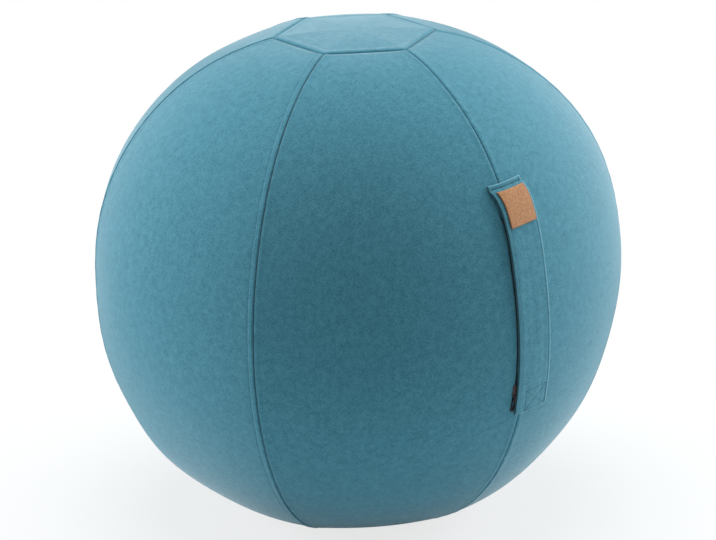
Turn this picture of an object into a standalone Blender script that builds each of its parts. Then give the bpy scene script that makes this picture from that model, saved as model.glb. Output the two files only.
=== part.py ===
"""A sitting ball: an inflated bladder in a zipped felt cover with a carrying strap.

The cover has six side panels between a hexagonal top panel and a flat base panel that it stands on.
Metres, +Z up. The origin is at the centre of the base panel, on the floor. The zip and the strap face -Y.
"""

import math

import bmesh
import bpy
from mathutils import Vector

# The ball. Latitudes and azimuths are in degrees about its middle, at the widest level.
BALL_RADIUS = 0.325             # out to the seams
HALF_HEIGHT = 0.297             # from the widest level to the rims of the top and base panels
HEXAGON_RADIUS = 0.097          # centre to corner of the top and base panels
ROUND_LATITUDE = 34.4           # up to here each seam is a circle about the middle
PANEL_FLATNESS = 0.17           # cross-section: 0 is round, 1 is a plain hexagon
RIM_ROUNDING = 3.2              # latitude over which a panel rounds out from its straight rim
TOP_CROWN = 0.006
SEAM_COUNT = 6

# The cover's cloth. A seam's turned-in allowance tapers from the seam to its own edge.
CLOTH_THICKNESS = 0.0025
ALLOWANCE_THICKNESS = 0.0029
ALLOWANCE_WIDTH = 0.024
FIT_GAP = 0.0003                # clearance between pieces that touch

# The concealed zip, in the seam that faces -Y. It runs straight round the ball's middle, beside the strap.
SEAM_AZIMUTH = -86.2            # the regular place of the zip's seam
SEAM_LEAN = 1.4                 # its lean towards the zip, above and below it
LEAN_LATITUDE = 55.0            # from here the lean fades out to the panels' corners
ZIP_AZIMUTH = -90.13            # where the zip crosses the widest level
ZIP_TILT = 0.33                 # its slope towards the front panel on the way up
ZIP_TRAVEL = 34.5               # the slider's way up from its closed end
ZIP_END = 2.0                   # latitude over which the opening closes at each end
ZIP_BEND_LOW = 3.8              # latitude over which the seam bends away below the zip
ZIP_BEND_HIGH = 6.5             # and above it
TAPE_WIDTH = 0.012
TAPE_THICKNESS = 0.0006
TAPE_FLAT = 0.0006              # how far the tape's inner stretch reaches past the slider
TAPE_RISE = 0.0038              # width over which the tape rises to the cloth that it is sewn to
TEETH_WIDTH = 0.0016
TEETH_HEIGHT = 0.0012
STOP_LENGTH = 0.003
STOP_THICKNESS = 0.0009
STOP_MARGIN = 0.001             # teeth left beyond each stop

# The slider runs on the teeth behind the cloth. Its post passes between the two rows, and its bridge comes
# out through the slit, holds the pull and carries a cap on the cover, which the pull swings up to lie on.
SLIDER_LATITUDE = -12.4
SLIDER_LENGTH = 0.016
SLIDER_PLATE = 0.001
SLIDER_FLANGE = 0.0009
SLIDER_POST = 0.001
SLIDER_BACK_WIDTH = 0.0072
SLIDER_BACK_PLATE = 0.0008
BRIDGE_LENGTH = 0.008
BRIDGE_BEAM = 0.001
BRIDGE_SHIFT = 0.0035           # from the slider's middle towards its lower end
BRIDGE_ROOT = 0.0005            # how deep the bridge's legs run into the slider's plate
CAP_START = 0.0022              # from the pull's pivot up to the cap
CAP_LENGTH = 0.0148
CAP_WIDTH = 0.0056
CAP_THICKNESS = 0.0007
PULL_LENGTH = 0.019
PULL_WIDTH = 0.005
PULL_BAR = 0.0011
PULL_SIDE_BAR = 0.0012
PULL_FOOT_BAR = 0.0032
PULL_CORNER = 0.0008
PULL_LEAN = 4.0                 # in from the way that the zip runs at its pivot, so that it lies on the cover

# The strap, sewn down at both ends and slack between them.
STRAP_FOOT_LATITUDE = -17.2
STRAP_TOP_LATITUDE = 32.5
SEWN_FOOT = 6.6
SEWN_TOP = 1.5
STRAP_WIDTH = 0.049
STRAP_THICKNESS = 0.0035
STRAP_FOOT_OFFSET = 0.0301      # centre line from the zip, at the foot
STRAP_TOP_OFFSET = 0.0210       # and at the top
STRAP_SEAT = 0.0008             # clear of the seam's ridge below it
STRAP_SLACK = 0.0063            # at its highest, below the patch
SLACK_RISE = 1.6                # how late the slack rises from the foot
SLACK_FALL = 0.7                # and how late it falls to the top
LABEL_WIDTH = 0.041
LABEL_HEIGHT = 0.044
LABEL_THICKNESS = 0.0012
LABEL_SHIFT = 0.003             # from the strap's centre line
LABEL_INSET = 0.0015            # below the strap's sewn upper end

# The bladder and its valve.
BLADDER_WALL = 0.001
ZIP_GROOVE = 0.0098             # its depth behind the zip, under the seam
VALVE_HOLE_RADIUS = 0.011
COLLAR_FLANGE_RADIUS = 0.016
COLLAR_FLANGE = 0.002
COLLAR_DEPTH = 0.014
COLLAR_RECESS = 0.0005          # its face below the bladder's
PLUG_HEAD_RADIUS = 0.008
PLUG_HEAD = 0.002
PLUG_STEM_RADIUS = 0.0042
PLUG_TIP_RADIUS = 0.0034
PLUG_LENGTH = 0.018

# Fineness of the facets.
PANEL_CELLS = 5                 # between a panel's two allowances
COARSE_STEP = 10.0
ZIP_STEP = 5.0
FINE_STEP = 2.5
STRAP_CELLS = 6
TURNED_SIDES = 24

# Looks: colour as linear red, green and blue, then roughness and metallic value.
FELT = ((0.066, 0.205, 0.262), 0.95, 0.0)
DARK_TAPE = ((0.020, 0.055, 0.070), 0.90, 0.0)
DARK_METAL = ((0.040, 0.038, 0.042), 0.45, 0.8)
TAN_PATCH = ((0.520, 0.270, 0.115), 0.70, 0.0)
GREY_VINYL = ((0.300, 0.310, 0.320), 0.50, 0.0)
WHITE_PLASTIC = ((0.750, 0.750, 0.740), 0.45, 0.0)

# Values worked out from those above.
SECTOR = 360.0 / SEAM_COUNT
RIM_LATITUDE = math.degrees(math.atan2(HALF_HEIGHT, HEXAGON_RADIUS))
ALLOWANCE_LATITUDE = RIM_LATITUDE - math.degrees(ALLOWANCE_WIDTH / math.hypot(HEXAGON_RADIUS, HALF_HEIGHT))
ALLOWANCE_DEPTH = CLOTH_THICKNESS + ALLOWANCE_THICKNESS
BALL_MIDDLE = Vector((0.0, 0.0, HALF_HEIGHT))
SMALL = 1e-6


def arc_degrees(length):
    """The latitude that a length takes up along the zip."""
    return math.degrees(length / BALL_RADIUS)


SLIDER_HALF = arc_degrees(SLIDER_LENGTH / 2)
STOP_STEP = SLIDER_HALF + arc_degrees(FIT_GAP + STOP_LENGTH / 2)
ZIP_LOW = SLIDER_LATITUDE - STOP_STEP - arc_degrees(STOP_LENGTH / 2 + STOP_MARGIN)
ZIP_HIGH = SLIDER_LATITUDE + ZIP_TRAVEL + STOP_STEP + arc_degrees(STOP_LENGTH / 2 + STOP_MARGIN)

# The zip's layers, by their distance across from its middle line and their depth under the seam.
TEETH_INNER = SLIDER_POST / 2 + FIT_GAP
TEETH_OUTER = TEETH_INNER + TEETH_WIDTH
FLANGE_INNER = TEETH_OUTER + FIT_GAP
SLIDER_EDGE = FLANGE_INNER + SLIDER_FLANGE
PANEL_EDGE = SLIDER_POST / 2 + 2 * FIT_GAP
FACET_SAG = BALL_RADIUS * (1 - math.cos(math.radians(ZIP_STEP / 2)))
PANEL_FALL = SLIDER_EDGE * PANEL_FLATNESS * math.tan(math.radians(SECTOR / 2))
TAPE_SEWN = CLOTH_THICKNESS + FIT_GAP + FACET_SAG
PLATE_TOP = TAPE_SEWN + PANEL_FALL
PLATE_BACK = PLATE_TOP + SLIDER_PLATE
TEETH_TOP = PLATE_BACK + FIT_GAP
TEETH_BACK = TEETH_TOP + TEETH_HEIGHT
TAPE_TOP = TEETH_BACK + FIT_GAP
TAPE_BACK = TAPE_TOP + TAPE_THICKNESS
CAP_TOP = -FIT_GAP - CAP_THICKNESS
BAR_SWEEP = PULL_BAR / math.sqrt(2)
BAR_DEPTH = CAP_TOP - FIT_GAP - PULL_BAR / 2


# Shape of the ball


def shoulder_arc():
    """Centre and radius, in (out, up), of the arc from the round part of a seam to the rim."""
    angle = math.radians(ROUND_LATITUDE)
    out_way = Vector((math.cos(angle), math.sin(angle)))
    start = out_way * BALL_RADIUS
    chord = Vector((HEXAGON_RADIUS, HALF_HEIGHT)) - start
    radius = -chord.length_squared / (2 * chord.dot(out_way))
    return start - out_way * radius, radius


SHOULDER_CENTRE, SHOULDER_RADIUS = shoulder_arc()


def seam_point(latitude):
    """A point of a seam, and the way out from it, both in (out, up)."""
    angle = math.radians(abs(latitude))
    ray = Vector((math.cos(angle), math.sin(angle)))
    if abs(latitude) <= ROUND_LATITUDE:
        point = ray * BALL_RADIUS
        way = ray
    else:
        along = SHOULDER_CENTRE.dot(ray)
        off_centre = SHOULDER_CENTRE.length_squared - SHOULDER_RADIUS ** 2
        point = ray * (along + math.sqrt(along ** 2 - off_centre))
        way = (point - SHOULDER_CENTRE) / SHOULDER_RADIUS
    if latitude < 0:
        return Vector((point.x, -point.y)), Vector((way.x, -way.y))
    return point, way


def ease(value):
    """A smooth step from 0 to 1."""
    value = min(max(value, 0.0), 1.0)
    return value * value * (3 - 2 * value)


def zip_frame():
    """The zip's directions where it crosses the widest level: out, across to the right, and up along it."""
    turn = math.radians(ZIP_AZIMUTH)
    tilt = math.radians(ZIP_TILT)
    out = Vector((math.cos(turn), math.sin(turn), 0.0))
    right = Vector((-math.sin(turn), math.cos(turn), 0.0))
    up = Vector((0.0, 0.0, 1.0))
    across = right * math.cos(tilt) + up * math.sin(tilt)
    along = up * math.cos(tilt) - right * math.sin(tilt)
    return out, across, along


ZIP_OUT, ZIP_ACROSS, ZIP_UP = zip_frame()


def zip_azimuth(latitude):
    """The azimuth of the zip's middle line."""
    angle = math.asin(math.sin(math.radians(latitude)) / ZIP_UP.z)
    spot = ZIP_OUT * math.cos(angle) + ZIP_UP * math.sin(angle)
    return math.degrees(math.atan2(spot.y, spot.x))


def past_zip(latitude):
    """How far a latitude lies above or below the zip's opening."""
    return max(ZIP_LOW - latitude, latitude - ZIP_HIGH, 0.0)


def on_zip(seam, latitude):
    """Whether a seam is open for the zip at a latitude."""
    return seam % SEAM_COUNT == 0 and past_zip(latitude) < SMALL


def seam_azimuth(seam, latitude):
    """The azimuth of a seam. Seams count round from the zip's, which leaves its regular place for the zip."""
    azimuth = SEAM_AZIMUTH + SECTOR * seam
    if seam % SEAM_COUNT:
        return azimuth
    fade = ease((abs(latitude) - LEAN_LATITUDE) / (RIM_LATITUDE - LEAN_LATITUDE))
    azimuth -= SEAM_LEAN * (1 - fade)
    bend = ease(past_zip(latitude) / (ZIP_BEND_LOW if latitude < ZIP_LOW else ZIP_BEND_HIGH))
    if bend > 1 - SMALL:
        return azimuth
    return azimuth * bend + (zip_azimuth(latitude) + SECTOR * seam) * (1 - bend)


def surface_point(latitude, azimuth, share, depth):
    """A point under the cover's outer surface. share runs from 0 to 1 across a panel."""
    (out, up), (way_out, way_up) = seam_point(latitude)
    from_rim = RIM_LATITUDE - abs(latitude)
    flatness = PANEL_FLATNESS + (1 - PANEL_FLATNESS) * math.exp(-from_rim / RIM_ROUNDING)
    half_sector = math.radians(SECTOR / 2)
    side = math.cos(half_sector) / math.cos((2 * share - 1) * half_sector)
    out = out * (1 - flatness + flatness * side) - depth * way_out
    turn = math.radians(azimuth)
    return Vector((out * math.cos(turn), out * math.sin(turn), HALF_HEIGHT + up - depth * way_up))


def zip_side_point(latitude, across, depth):
    """A point near the zip, by its distance across from the zip's middle line, + towards +X."""
    azimuth = zip_azimuth(latitude) + math.degrees(across / seam_point(latitude)[0].x)
    panel = 0 if azimuth >= seam_azimuth(0, latitude) else -1
    low = seam_azimuth(panel, latitude)
    share = (azimuth - low) / (seam_azimuth(panel + 1, latitude) - low)
    return surface_point(latitude, azimuth, share, depth)


def arc_point(latitude, across, depth):
    """A point of a rigid piece that runs round the ball's middle in the zip's plane."""
    angle = math.radians(latitude)
    spoke = ZIP_OUT * math.cos(angle) + ZIP_UP * math.sin(angle)
    return BALL_MIDDLE + spoke * (BALL_RADIUS - depth) + ZIP_ACROSS * across


# Meshes and objects


class Skin:
    """The points and triangles of a piece, built up from rows of points."""

    def __init__(self):
        self.points = []
        self.faces = []

    def row(self, points):
        first = len(self.points)
        self.points += points
        return list(range(first, len(self.points)))

    def join(self, low, high, ring=False, flip=False):
        """Triangles from one row to the next. Seen from outside, rows run to the right and upwards."""
        count = len(low)
        for index in range(count if ring else count - 1):
            after = (index + 1) % count
            pair = [(low[index], low[after], high[after]), (low[index], high[after], high[index])]
            self.faces += [face[::-1] for face in pair] if flip else pair

    def fan(self, ring, middle, flip=False):
        """Triangles from a ring of points to its middle point."""
        for index, start in enumerate(ring):
            face = (start, ring[(index + 1) % len(ring)], middle)
            self.faces.append(face[::-1] if flip else face)


def spread(breaks, steps):
    """Values from break to break, evenly spaced in each stretch and no wider apart than its step."""
    values = [breaks[0]]
    for low, high, step in zip(breaks, breaks[1:], steps):
        count = max(1, math.ceil((high - low) / step - SMALL))
        values += [low + (high - low) * index / count for index in range(1, count)] + [high]
    return values


def finish(name, look):
    """A material of its own for one piece."""
    colour, roughness, metallic = look
    material = bpy.data.materials.new(name + "_finish")
    material.use_nodes = True
    shader = material.node_tree.nodes["Principled BSDF"]
    shader.inputs["Base Color"].default_value = (*colour, 1.0)
    shader.inputs["Roughness"].default_value = roughness
    shader.inputs["Metallic"].default_value = metallic
    return material


def add_piece(name, skin, look, origin=(0.0, 0.0, 0.0), face_out=True):
    """A named object from points given in the world, with its origin where it turns."""
    origin = Vector(origin)
    mesh = bpy.data.meshes.new(name)
    mesh.from_pydata([point - origin for point in skin.points], [], skin.faces)
    if face_out:
        work = bmesh.new()
        work.from_mesh(mesh)
        bmesh.ops.remove_doubles(work, verts=work.verts, dist=SMALL)
        bmesh.ops.recalc_face_normals(work, faces=work.faces)
        work.to_mesh(mesh)
        work.free()
    mesh.shade_smooth()
    mesh.set_sharp_from_angle(angle=math.radians(30))
    mesh.materials.append(finish(name, look))
    piece = bpy.data.objects.new(name, mesh)
    piece.location = origin
    bpy.context.collection.objects.link(piece)
    return piece


def add_sheet(name, outer, inner, look, origin=(0.0, 0.0, 0.0)):
    """A sheet of material between two grids of points. Rows run to +azimuth and follow upwards."""
    skin = Skin()
    outer = [skin.row(row) for row in outer]
    inner = [skin.row(row) for row in inner]
    for index in range(len(outer) - 1):
        skin.join(outer[index], outer[index + 1])
        skin.join(inner[index], inner[index + 1], flip=True)
    skin.join(inner[0], outer[0])
    skin.join(inner[-1], outer[-1], flip=True)
    skin.join([row[-1] for row in inner], [row[-1] for row in outer])
    skin.join([row[0] for row in inner], [row[0] for row in outer], flip=True)
    return add_piece(name, skin, look, origin)


def add_prism(name, sections, look, origin=(0.0, 0.0, 0.0)):
    """A solid carried through a run of sections, each a closed outline of points."""
    skin = Skin()
    rings = [skin.row(section) for section in sections]
    for low, high in zip(rings, rings[1:]):
        skin.join(low, high, ring=True)
    skin.faces += [tuple(rings[0]), tuple(rings[-1])]
    return add_piece(name, skin, look, origin)


def add_turned(name, profile, base, way, look):
    """A piece turned from a closed profile of (radius, height) points about an axis."""
    turn = Vector((0.0, 0.0, 1.0)).rotation_difference(way)
    skin = Skin()
    rings = []
    for radius, height in profile:
        angles = [2 * math.pi * side / TURNED_SIDES for side in range(TURNED_SIDES)]
        spots = [Vector((radius * math.cos(angle), radius * math.sin(angle), height)) for angle in angles]
        rings.append(skin.row([base + turn @ spot for spot in spots]))
    for low, high in zip(rings, rings[1:] + rings[:1]):
        skin.join(low, high, ring=True)
    return add_piece(name, skin, look, base)


def combine(piece, operation, tool):
    """Cut a tool object from a piece, or unite them, and hide the tool."""
    step = piece.modifiers.new(tool.name, "BOOLEAN")
    step.operation = operation
    step.solver = "EXACT"
    step.object = tool
    tool.hide_render = True
    tool.display_type = "WIRE"


# Cover: six side panels, the crowned top panel and the flat base panel

LATITUDES = spread(
    [-RIM_LATITUDE, -ALLOWANCE_LATITUDE, ZIP_LOW - ZIP_BEND_LOW, ZIP_LOW - ZIP_END, ZIP_LOW,
     ZIP_HIGH, ZIP_HIGH + ZIP_END, ZIP_HIGH + ZIP_BEND_HIGH, ALLOWANCE_LATITUDE, RIM_LATITUDE],
    [COARSE_STEP] * 2 + [ZIP_STEP] * 5 + [COARSE_STEP] * 2)
CAP_RINGS = (1 - ALLOWANCE_WIDTH / HEXAGON_RADIUS, (1 - ALLOWANCE_WIDTH / HEXAGON_RADIUS) / 2)


def at_rim(latitude):
    """Whether a latitude lies on the rim of the top or base panel."""
    return abs(latitude) > ALLOWANCE_LATITUDE + SMALL


def panel_columns(panel, latitude, low_edge=0.0, high_edge=0.0):
    """The (azimuth, share across the panel) of a row of points, with its edges off the seams."""
    low = seam_azimuth(panel, latitude)
    high = seam_azimuth(panel + 1, latitude)
    to_degrees = math.degrees(1 / seam_point(latitude)[0].x)
    inner_low = low + ALLOWANCE_WIDTH * to_degrees
    step = (high - ALLOWANCE_WIDTH * to_degrees - inner_low) / PANEL_CELLS
    azimuths = [low + low_edge * to_degrees]
    azimuths += [inner_low + step * index for index in range(PANEL_CELLS + 1)]
    azimuths.append(high - high_edge * to_degrees)
    return [(azimuth, (azimuth - low) / (high - low)) for azimuth in azimuths]


def side_panel(panel):
    """One side panel, with its allowance turned in along all its edges except at the zip."""
    outer = []
    inner = []
    for latitude in LATITUDES:
        seams = (panel, panel + 1)
        edges = [PANEL_EDGE if on_zip(seam, latitude) else FIT_GAP / 2 for seam in seams]
        columns = panel_columns(panel, latitude, *edges)
        depths = [ALLOWANCE_DEPTH if at_rim(latitude) else CLOTH_THICKNESS] * len(columns)
        for column, seam in zip((0, -1), seams):
            if not on_zip(seam, latitude):
                depths[column] = ALLOWANCE_DEPTH
        outer.append([surface_point(latitude, *column, 0.0) for column in columns])
        inner.append([surface_point(latitude, *column, depth) for column, depth in zip(columns, depths)])
    add_sheet(f"side_panel_{panel + 1}", outer, inner, FELT)


def ring_columns(latitude):
    """The columns of all the panels round the ball, from the zip's seam."""
    return [column for panel in range(SEAM_COUNT) for column in panel_columns(panel, latitude)[:-1]]


def cap_ring(side, crown, share, depth, trim=1.0):
    """A ring of the top (side 1) or base (side -1) panel. Its share is 1 at the rim and 0 in the middle."""
    latitude = side * RIM_LATITUDE
    way_up = abs(seam_point(latitude)[1].y)
    points = []
    for column in ring_columns(latitude):
        point = surface_point(latitude, *column, depth) * (share * trim)
        point.z = HALF_HEIGHT + side * (HALF_HEIGHT + crown * (1 - share ** 2) - depth * way_up)
        points.append(point)
    return points


def close_cap(skin, rim, side, crown, depth, trim, flip):
    """Rings and a middle point that close a rim."""
    flip = flip != (side < 0)
    for share in CAP_RINGS:
        ring = skin.row(cap_ring(side, crown, share, depth, trim))
        skin.join(rim, ring, ring=True, flip=flip)
        rim = ring
    middle = sum((skin.points[index] for index in rim), Vector()) / len(rim)
    middle.z = cap_ring(side, crown, 0.0, depth)[0].z
    skin.fan(rim, skin.row([middle])[0], flip=flip)


def cap_panel(name, side, crown):
    """The top or base panel: a hexagon of cloth with its allowance turned in all round."""
    trim = 1 - FIT_GAP / HEXAGON_RADIUS
    skin = Skin()
    outer = skin.row(cap_ring(side, crown, 1.0, 0.0, trim))
    inner = skin.row(cap_ring(side, crown, 1.0, ALLOWANCE_DEPTH, trim))
    close_cap(skin, outer, side, crown, 0.0, trim, False)
    close_cap(skin, inner, side, crown, CLOTH_THICKNESS, trim, True)
    skin.join(inner, outer, ring=True, flip=side < 0)
    add_piece(name, skin, FELT)


# Bladder: a closed skin pressed into the cover, grooved where the seam allowances and the zip bear on it


def bladder_skin(skin, inset, flip):
    """One face of the bladder, set in from its outer face, with a groove along each seam."""
    depth = CLOTH_THICKNESS + FIT_GAP + inset
    groove = ALLOWANCE_DEPTH + FIT_GAP + inset
    zip_groove = ZIP_GROOVE + inset
    rows = []
    for latitude in LATITUDES:
        points = []
        for index, column in enumerate(ring_columns(latitude)):
            grooved = at_rim(latitude) or index % (PANEL_CELLS + 2) == 0
            deep = index == 0 and past_zip(latitude) < ZIP_END + SMALL
            level = zip_groove if deep else groove if grooved else depth
            points.append(surface_point(latitude, *column, level))
        rows.append(skin.row(points))
    for low, high in zip(rows, rows[1:]):
        skin.join(low, high, ring=True, flip=flip)
    close_cap(skin, rows[0], -1, 0.0, depth, 1.0, flip)
    close_cap(skin, rows[-1], 1, TOP_CROWN, depth, 1.0, flip)
    return rows


def valve_place(skin, rows):
    """The middle of the front panel's cell nearest the zip, half-way up it, and the way out from it."""
    half_way = (ZIP_LOW + ZIP_HIGH) / 2
    row = max(index for index, latitude in enumerate(LATITUDES) if latitude <= half_way)
    indices = [line[column] for line in (rows[row], rows[row + 1]) for column in (-2, -1)]
    south_west, south_east, north_west, north_east = [skin.points[index] for index in indices]
    way = (north_east - south_west).cross(north_west - south_east).normalized()
    return (south_west + south_east + north_west + north_east) / 4, way


def bladder_and_valve():
    """The bladder, the collar in its valve hole and the plug in the collar."""
    skin = Skin()
    rows = bladder_skin(skin, 0.0, False)
    base, way = valve_place(skin, rows)
    bladder_skin(skin, BLADDER_WALL, True)
    bladder = add_piece("bladder", skin, GREY_VINYL, face_out=False)
    reach = COLLAR_DEPTH
    hole = [(0.0, -reach), (VALVE_HOLE_RADIUS, -reach), (VALVE_HOLE_RADIUS, reach), (0.0, reach)]
    combine(bladder, "DIFFERENCE", add_turned("valve_hole", hole, base, way, GREY_VINYL))

    face = -COLLAR_RECESS
    neck = VALVE_HOLE_RADIUS - FIT_GAP
    flange_top = -BLADDER_WALL - FIT_GAP
    flange_back = flange_top - COLLAR_FLANGE
    counterbore = PLUG_HEAD_RADIUS + FIT_GAP
    bore = PLUG_STEM_RADIUS + FIT_GAP
    seat = face - PLUG_HEAD - FIT_GAP
    collar = [(counterbore, face), (counterbore, seat), (bore, seat), (bore, face - COLLAR_DEPTH),
              (neck, face - COLLAR_DEPTH), (neck, flange_back), (COLLAR_FLANGE_RADIUS, flange_back),
              (COLLAR_FLANGE_RADIUS, flange_top), (neck, flange_top), (neck, face)]
    add_turned("valve_collar", collar, base, way, WHITE_PLASTIC)
    plug = [(0.0, face - PLUG_LENGTH), (PLUG_TIP_RADIUS, face - PLUG_LENGTH),
            (PLUG_STEM_RADIUS, face - PLUG_HEAD), (PLUG_HEAD_RADIUS, face - PLUG_HEAD),
            (PLUG_HEAD_RADIUS, face), (0.0, face)]
    add_turned("valve_plug", plug, base, way, WHITE_PLASTIC)


# Zip: two tapes behind the cover's edges, two rows of teeth, a stop at each end, slider and pull


def zip_strip(name, outline, thickness, low, high, look):
    """A strip along the zip. Its outline gives the distance across and the depth of its outer face."""
    latitudes = spread([low, high], [FINE_STEP])
    grids = []
    for inset in (0.0, thickness):
        grid = []
        for latitude in latitudes:
            grid.append([zip_side_point(latitude, across, depth + inset) for across, depth in outline])
        grids.append(grid)
    add_sheet(name, *grids, look)


def on_side(side, outline):
    """An outline as it is on the right of the zip, or turned over to its left."""
    return outline if side > 0 else [(-across, depth) for across, depth in reversed(outline)]


def zip_fixed_parts():
    """The tapes, the rows of teeth and the stops."""
    inner = TEETH_INNER + FIT_GAP
    knee = SLIDER_EDGE + TAPE_FLAT
    tape = [(inner, TAPE_TOP), (knee, TAPE_TOP), (knee + TAPE_RISE, TAPE_SEWN),
            (inner + TAPE_WIDTH, TAPE_SEWN)]
    teeth = [(TEETH_INNER, TEETH_TOP), (TEETH_OUTER, TEETH_TOP)]
    for name, side in (("left", -1), ("right", 1)):
        zip_strip("zip_tape_" + name, on_side(side, tape), TAPE_THICKNESS, ZIP_LOW, ZIP_HIGH, DARK_TAPE)
        zip_strip("zip_teeth_" + name, on_side(side, teeth), TEETH_HEIGHT, ZIP_LOW, ZIP_HIGH, DARK_TAPE)
    stop_top = TEETH_TOP - FIT_GAP - STOP_THICKNESS
    stop = [(-TEETH_OUTER, stop_top), (TEETH_OUTER, stop_top)]
    half = arc_degrees(STOP_LENGTH / 2)
    places = (("bottom", SLIDER_LATITUDE - STOP_STEP), ("top", SLIDER_LATITUDE + ZIP_TRAVEL + STOP_STEP))
    for name, latitude in places:
        zip_strip(f"zip_{name}_stop", stop, STOP_THICKNESS, latitude - half, latitude + half, DARK_METAL)


def zip_slider():
    """The slider: a flanged top plate, a post between the rows of teeth, a back plate and a bridge."""
    half_post = SLIDER_POST / 2
    half_back = SLIDER_BACK_WIDTH / 2
    fall = (arc_point(0.0, 0.0, 0.0) - zip_side_point(0.0, half_back, 0.0)).dot(ZIP_OUT)
    back_top = TAPE_BACK + fall + FIT_GAP
    back = back_top + SLIDER_BACK_PLATE
    half_outline = [(SLIDER_EDGE, PLATE_TOP), (SLIDER_EDGE, TEETH_BACK), (FLANGE_INNER, TEETH_BACK),
                    (FLANGE_INNER, PLATE_BACK), (half_post, PLATE_BACK), (half_post, back_top),
                    (half_back, back_top), (half_back, back)]
    outline = half_outline + [(-across, depth) for across, depth in reversed(half_outline)]
    ends = [SLIDER_LATITUDE - SLIDER_HALF, SLIDER_LATITUDE + SLIDER_HALF]
    sections = []
    for latitude in spread(ends, [FINE_STEP / 4]):
        sections.append([arc_point(latitude, across, depth) for across, depth in outline])
    slider = add_prism("zip_slider", sections, DARK_METAL, BALL_MIDDLE)

    pivot_latitude = SLIDER_LATITUDE - arc_degrees(BRIDGE_SHIFT)
    reach = BRIDGE_LENGTH / 2
    root = PLATE_TOP + BRIDGE_ROOT
    beam = BAR_DEPTH - BAR_SWEEP - FIT_GAP
    crown = beam - BRIDGE_BEAM
    inside = reach - BRIDGE_BEAM
    arch = [(-reach, root), (-reach, crown), (reach, crown), (reach, root),
            (inside, root), (inside, beam), (-inside, beam), (-inside, root)]
    sections = []
    for across in (-half_post, half_post):
        sections.append([arc_point(pivot_latitude + arc_degrees(along), across, depth) for along, depth in arch])
    combine(slider, "UNION", add_prism("slider_bridge", sections, DARK_METAL, BALL_MIDDLE))

    half_cap = CAP_WIDTH / 2
    cap_outline = [(-half_cap, -FIT_GAP), (half_cap, -FIT_GAP), (half_cap, CAP_TOP), (-half_cap, CAP_TOP)]
    cap_low = pivot_latitude + arc_degrees(CAP_START)
    sections = []
    for latitude in spread([cap_low, cap_low + arc_degrees(CAP_LENGTH)], [FINE_STEP / 4]):
        sections.append([arc_point(latitude, across, depth) for across, depth in cap_outline])
    combine(slider, "UNION", add_prism("slider_cap", sections, DARK_METAL, BALL_MIDDLE))
    zip_pull(slider, pivot_latitude)


def zip_pull(slider, pivot_latitude):
    """The pull: an open frame on its top bar under the slider's bridge, lying down on the cover."""
    pivot = arc_point(pivot_latitude, 0.0, BAR_DEPTH)
    half_width = PULL_WIDTH / 2
    half_window = half_width - PULL_SIDE_BAR
    half_bar = PULL_BAR / 2
    lie = math.radians(pivot_latitude - PULL_LEAN)
    hang = ZIP_UP * math.cos(lie) - ZIP_OUT * math.sin(lie)
    out_way = ZIP_ACROSS.cross(hang)

    def loop(half, top, foot, corner):
        right = [(half - corner, foot), (half, foot + corner), (half, top - corner), (half - corner, top)]
        return right + [(-across, up) for across, up in reversed(right)]

    outer = loop(half_width, half_bar, half_bar - PULL_LENGTH, PULL_CORNER)
    window = loop(half_window, -half_bar, half_bar - PULL_LENGTH + PULL_FOOT_BAR, PULL_CORNER / 2)
    skin = Skin()
    rings = []
    for outline, out in ((outer, half_bar), (window, half_bar), (window, -half_bar), (outer, -half_bar)):
        face = pivot + out_way * out
        rings.append(skin.row([face + ZIP_ACROSS * across + hang * up for across, up in outline]))
    for low, high in zip(rings, rings[1:] + rings[:1]):
        skin.join(low, high, ring=True)
    pull = add_piece("zip_pull", skin, DARK_METAL, pivot)
    pull.parent = slider
    pull.location = pivot - slider.location


# Strap: one band in three stretches, with a patch sewn on

SPAN_LOW = STRAP_FOOT_LATITUDE + SEWN_FOOT
SPAN_HIGH = STRAP_TOP_LATITUDE - SEWN_TOP


def slack_share(along):
    """How the slack spreads along the free span, from 0 at its foot to 1 at its top."""
    return along ** SLACK_RISE * (1 - along) ** SLACK_FALL


def strap_point(latitude, across, height):
    """A point of the strap, by its distance from the centre line and its height over the underside."""
    along = min(max((latitude - SPAN_LOW) / (SPAN_HIGH - SPAN_LOW), 0.0), 1.0)
    slack = STRAP_SLACK * slack_share(along) / slack_share(SLACK_RISE / (SLACK_RISE + SLACK_FALL))
    share = (latitude - STRAP_FOOT_LATITUDE) / (STRAP_TOP_LATITUDE - STRAP_FOOT_LATITUDE)
    centre = STRAP_FOOT_OFFSET + (STRAP_TOP_OFFSET - STRAP_FOOT_OFFSET) * share
    return zip_side_point(latitude, centre + across, -(STRAP_SEAT + slack + height))


def strap_sheet(name, low, high, left, right, height, thickness, look, origin=(0.0, 0.0, 0.0)):
    """A stretch of the strap, or what lies on it."""
    latitudes = spread([low, high], [FINE_STEP])
    places = [left + (right - left) * cell / STRAP_CELLS for cell in range(STRAP_CELLS + 1)]
    grids = []
    for level in (height + thickness, height):
        grids.append([[strap_point(latitude, across, level) for across in places] for latitude in latitudes])
    return add_sheet(name, *grids, look, origin)


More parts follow.
